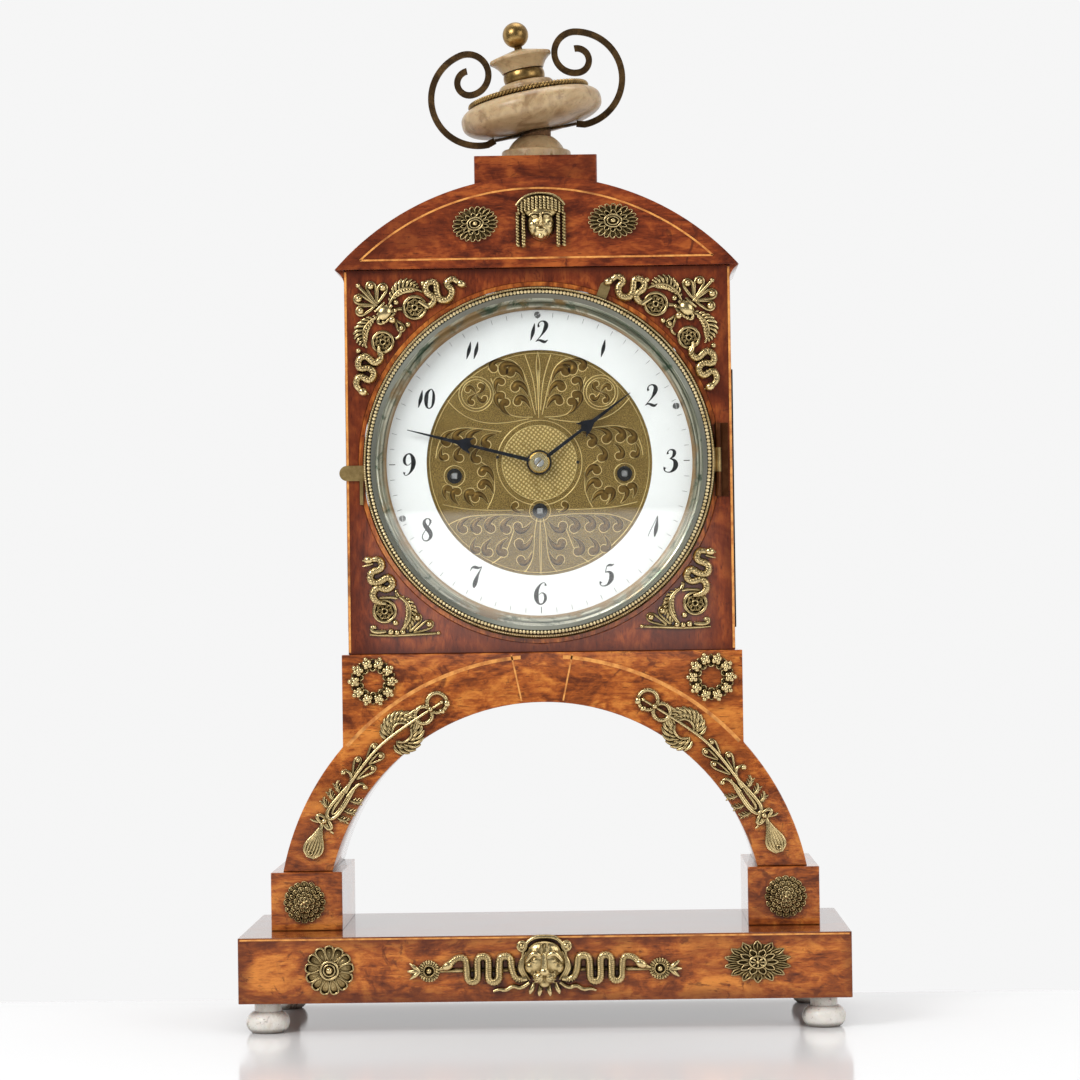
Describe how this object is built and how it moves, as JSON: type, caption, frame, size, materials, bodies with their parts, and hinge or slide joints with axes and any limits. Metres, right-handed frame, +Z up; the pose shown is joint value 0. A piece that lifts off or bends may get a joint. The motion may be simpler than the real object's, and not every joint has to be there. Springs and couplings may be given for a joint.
{
  "type": "mantel clock",
  "caption": "Portal mantel clock: veneered case on an arched bridge with gilt mounts, hinged bezel over an enamel dial, spring movement with pendulum, and a vase finial.",
  "frame": {"origin": "middle of the footprint, on the plane the feet stand on", "axes": "+Z up, -Y towards the viewer of the dial, +X to that viewer's right"},
  "size_m": [0.294, 0.131, 0.4983],
  "materials": {
    "veneered_wood": "glossy shellac",
    "plain_wood": "plain",
    "dark_wood": "stained dark",
    "gilt_brass": "worn gilding",
    "tarnished_brass": "tarnished",
    "clock_brass": "brushed",
    "steel": "polished",
    "blued_steel": "blued dark",
    "alabaster": "polished",
    "cement": "rough",
    "enamel": "glossy enamel",
    "glass": "clear"
  },
  "bodies": {
    "case": {"bun_feet": "alabaster", "base_plinth": "veneered_wood", "pedestal_blocks": "veneered_wood", "arch_bridge": "veneered_wood", "case_carcass": "plain_wood", "case_front": "veneered_wood", "side_panels": "dark_wood", "pediment": "veneered_wood", "finial_plinth": "veneered_wood", "vase_foot": "alabaster", "vase_cement": "cement", "vase_handles": "gilt_brass", "vase_bowl": "alabaster", "vase_rope_ring": "gilt_brass", "vase_collar": "gilt_brass", "vase_lid": "alabaster", "finial_ball": "gilt_brass", "pediment_mask": "gilt_brass", "pediment_rosettes": "gilt_brass", "upper_spandrels": "gilt_brass", "lower_spandrels": "gilt_brass", "grape_wreaths": "gilt_brass", "torch_mounts": "gilt_brass", "block_rosettes": "gilt_brass", "base_rosettes": "gilt_brass", "lion_serpent_mount": "gilt_brass", "dial_plate": "clock_brass", "chapter_ring": "enamel", "centre_disc": "clock_brass", "bezel_hinge": "gilt_brass", "front_plate": "clock_brass", "back_plate": "clock_brass", "suspension_cock": "clock_brass", "gong": "steel"},
    "bezel": {"bezel_ring": "gilt_brass", "bezel_glass": "glass", "dial_reflector": "tarnished_brass"},
    "strike_lever": {"strike_silent_lever": "gilt_brass"},
    "minute_group": {"minute_hand": "blued_steel", "hand_boss": "clock_brass", "cannon_pinion": "steel"},
    "hour_group": {"hour_hand": "blued_steel", "hour_wheel": "clock_brass"},
    "minute_wheel_body": {"minute_wheel": "clock_brass"},
    "going_barrel_body": {"going_barrel": "clock_brass"},
    "hour_barrel_body": {"hour_strike_barrel": "clock_brass"},
    "quarter_barrel_body": {"quarter_strike_barrel": "clock_brass"},
    "going_key_arbor": {"going_winding_arbor": "steel"},
    "hour_key_arbor": {"hour_winding_arbor": "steel"},
    "quarter_key_arbor": {"quarter_winding_arbor": "steel"},
    "centre_body": {"centre_arbor": "steel"},
    "third_body": {"third_arbor": "steel"},
    "escape_body": {"escape_arbor": "steel"},
    "pallet_body": {"pallets": "steel"},
    "pendulum_body": {"pendulum": "clock_brass"},
    "hammer_body": {"hammer": "steel"},
    "back_door": {"back_door_frame": "plain_wood", "back_door_glass": "glass", "back_door_pins": "clock_brass"},
    "door_button": {"back_door_latch": "clock_brass"}
  },
  "joints": [
    {"name": "bezel_hinge_turn", "type": "hinge", "parent": "case", "child": "bezel", "pos_m": [0.088, -0.016, 0.2745], "axis": [0, 0, 1], "range_deg": [0, 110]},
    {"name": "strike_lever_turn", "type": "hinge", "parent": "case", "child": "strike_lever", "pos_m": [0.02408, -0.004, 0.33595], "axis": [0, 1, 0], "range_deg": [-5, 5]},
    {"name": "minute_turn", "type": "hinge", "parent": "case", "child": "minute_group", "pos_m": [0, -0.005, 0.2745], "axis": [0, 1, 0], "continuous": true},
    {"name": "hour_turn", "type": "hinge", "parent": "case", "child": "hour_group", "pos_m": [0, -0.005, 0.2745], "axis": [0, 1, 0], "continuous": true},
    {"name": "minute_wheel_turn", "type": "hinge", "parent": "case", "child": "minute_wheel_body", "pos_m": [-0.01247, 0.002, 0.2673], "axis": [0, 1, 0], "continuous": true},
    {"name": "third_turn", "type": "hinge", "parent": "case", "child": "third_body", "pos_m": [-0.009, 0.02, 0.29091], "axis": [0, 1, 0], "continuous": true},
    {"name": "centre_turn", "type": "hinge", "parent": "case", "child": "centre_body", "pos_m": [0, 0.02, 0.2745], "axis": [0, 1, 0], "continuous": true},
    {"name": "going_barrel_turn", "type": "hinge", "parent": "case", "child": "going_barrel_body", "pos_m": [0, 0.03, 0.2507], "axis": [0, 1, 0], "continuous": true},
    {"name": "escape_turn", "type": "hinge", "parent": "case", "child": "escape_body", "pos_m": [0, 0.03, 0.30453], "axis": [0, 1, 0], "continuous": true},
    {"name": "hour_barrel_turn", "type": "hinge", "parent": "case", "child": "hour_barrel_body", "pos_m": [-0.042, 0.03, 0.2685], "axis": [0, 1, 0], "continuous": true},
    {"name": "quarter_barrel_turn", "type": "hinge", "parent": "case", "child": "quarter_barrel_body", "pos_m": [0.042, 0.03, 0.2685], "axis": [0, 1, 0], "continuous": true},
    {"name": "going_winding", "type": "hinge", "parent": "case", "child": "going_key_arbor", "pos_m": [0, 0, 0.2507], "axis": [0, 1, 0], "continuous": true},
    {"name": "hour_winding", "type": "hinge", "parent": "case", "child": "hour_key_arbor", "pos_m": [-0.042, 0, 0.2685], "axis": [0, 1, 0], "continuous": true},
    {"name": "quarter_winding", "type": "hinge", "parent": "case", "child": "quarter_key_arbor", "pos_m": [0.042, 0, 0.2685], "axis": [0, 1, 0], "continuous": true},
    {"name": "pendulum_swing", "type": "hinge", "parent": "case", "child": "pendulum_body", "pos_m": [0, 0.0515, 0.3172], "axis": [0, 1, 0], "range_deg": [-3, 3]},
    {"name": "pallet_swing", "type": "hinge", "parent": "case", "child": "pallet_body", "pos_m": [0, 0.036, 0.3172], "axis": [0, 1, 0], "range_deg": [-3, 3]},
    {"name": "hammer_lift", "type": "hinge", "parent": "case", "child": "hammer_body", "pos_m": [0.027, 0.02, 0.2305], "axis": [0, -1, 0], "range_deg": [0, 12], "stiffness_Nm_per_rad": 0.004},
    {"name": "back_door_turn", "type": "hinge", "parent": "case", "child": "back_door", "pos_m": [-0.0865, 0.0585, 0.2745], "axis": [0, 0, 1], "range_deg": [0, 100]},
    {"name": "door_button_turn", "type": "hinge", "parent": "case", "child": "door_button", "pos_m": [0.0926, 0.062, 0.2745], "axis": [0, 1, 0], "range_deg": [0, 90]}
  ],
  "couplings": [
    {"joint": "hour_turn", "follows": "minute_turn", "ratio": 0.083333},
    {"joint": "minute_wheel_turn", "follows": "minute_turn", "ratio": -0.33333},
    {"joint": "centre_turn", "follows": "third_turn", "ratio": -0.083333},
    {"joint": "going_barrel_turn", "follows": "third_turn", "ratio": 0.011905},
    {"joint": "escape_turn", "follows": "third_turn", "ratio": -15},
    {"joint": "pallet_swing", "follows": "pendulum_swing", "ratio": 1}
  ]
}
